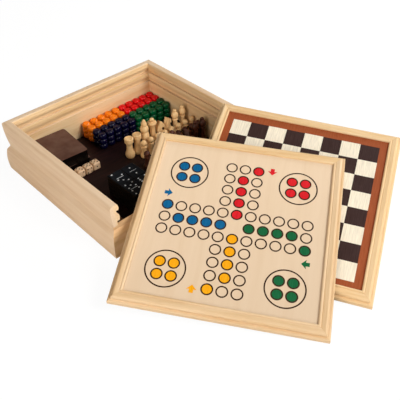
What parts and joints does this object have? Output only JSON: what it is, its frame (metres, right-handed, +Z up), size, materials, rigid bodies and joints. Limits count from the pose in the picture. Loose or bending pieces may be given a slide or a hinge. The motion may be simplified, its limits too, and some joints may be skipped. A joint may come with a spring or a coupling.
{
  "type": "games compendium box",
  "caption": "Open wooden games box with two lid boards, ludo and chess, leaning on its low front wall, and game pieces standing inside.",
  "frame": {"origin": "on the table, under the middle of the box's upper band", "axes": "+Z up; +Y to the closed back of the box, so the lid boards slide out towards -Y; +X to the right seen from the open front"},
  "size_m": [0.4811, 0.5963, 0.1085],
  "materials": {
    "box_pine": "satin",
    "bottom_wood": "matte",
    "dark_lining": "satin",
    "ludo_frame": "satin",
    "ludo_print": "satin",
    "chess_frame": "satin",
    "chess_print": "satin",
    "card_backs": "gloss",
    "dice_wood": "satin",
    "domino_black": "satin",
    "yellow_lacquer": "gloss",
    "red_lacquer": "gloss",
    "blue_lacquer": "gloss",
    "green_lacquer": "gloss",
    "natural_wood": "satin",
    "dark_wood": "satin",
    "stick_wood": "matte"
  },
  "bodies": {
    "box": {"wall_left": "box_pine", "wall_right": "box_pine", "wall_back": "box_pine", "wall_front": "box_pine", "bottom_panel": "bottom_wood", "floor_lining": "dark_lining"},
    "chess_board": {"chess_rail_top": "chess_frame", "chess_rail_bottom": "chess_frame", "chess_rail_left": "chess_frame", "chess_rail_right": "chess_frame", "chess_panel": "chess_print"},
    "ludo_board": {"ludo_rail_top": "ludo_frame", "ludo_rail_bottom": "ludo_frame", "ludo_rail_left": "ludo_frame", "ludo_rail_right": "ludo_frame", "ludo_panel": "ludo_print"},
    "playing_cards": {"deck_upper": "card_backs", "deck_lower": "card_backs"},
    "dice_set": {"dice": "dice_wood"},
    "domino_set": {"dominoes_lower": "domino_black", "dominoes_top": "domino_black"},
    "stick_set": {"mikado_sticks": "stick_wood"},
    "yellow_set": {"yellow_counters": "yellow_lacquer"},
    "red_set": {"red_counters": "red_lacquer"},
    "blue_set": {"blue_counters": "blue_lacquer"},
    "green_set": {"green_counters": "green_lacquer"},
    "natural_chessmen": {"natural_king": "natural_wood", "natural_queen": "natural_wood", "natural_bishops": "natural_wood", "natural_knights": "natural_wood", "natural_rooks": "natural_wood", "natural_pawns": "natural_wood"},
    "dark_chessmen": {"dark_king": "dark_wood", "dark_queen": "dark_wood", "dark_bishops": "dark_wood", "dark_knights": "dark_wood", "dark_rooks": "dark_wood", "dark_pawns": "dark_wood"}
  },
  "joints": [
    {"name": "chess_board_lift", "type": "slide", "parent": "box", "child": "chess_board", "axis": [0, 0, 1], "range_m": [0, 0.12]},
    {"name": "ludo_board_lift", "type": "slide", "parent": "chess_board", "child": "ludo_board", "axis": [0, 0, 1], "range_m": [0, 0.08]},
    {"name": "cards_lift", "type": "slide", "parent": "box", "child": "playing_cards", "axis": [0, 0, 1], "range_m": [0, 0.1]},
    {"name": "dice_lift", "type": "slide", "parent": "box", "child": "dice_set", "axis": [0, 0, 1], "range_m": [0, 0.1]},
    {"name": "dominoes_lift", "type": "slide", "parent": "box", "child": "domino_set", "axis": [0, 0.5, 0.866], "range_m": [0, 0.13]},
    {"name": "sticks_lift", "type": "slide", "parent": "box", "child": "stick_set", "axis": [0, 0, 1], "range_m": [0, 0.1]},
    {"name": "yellow_counters_lift", "type": "slide", "parent": "box", "child": "yellow_set", "axis": [0, 0, 1], "range_m": [0, 0.1]},
    {"name": "red_counters_lift", "type": "slide", "parent": "box", "child": "red_set", "axis": [0, 0, 1], "range_m": [0, 0.1]},
    {"name": "blue_counters_lift", "type": "slide", "parent": "box", "child": "blue_set", "axis": [0, 0, 1], "range_m": [0, 0.1]},
    {"name": "green_counters_lift", "type": "slide", "parent": "box", "child": "green_set", "axis": [0, 0, 1], "range_m": [0, 0.1]},
    {"name": "natural_chessmen_lift", "type": "slide", "parent": "box", "child": "natural_chessmen", "axis": [0, 0, 1], "range_m": [0, 0.1]},
    {"name": "dark_chessmen_lift", "type": "slide", "parent": "box", "child": "dark_chessmen", "axis": [0, 0, 1], "range_m": [0, 0.1]}
  ]
}
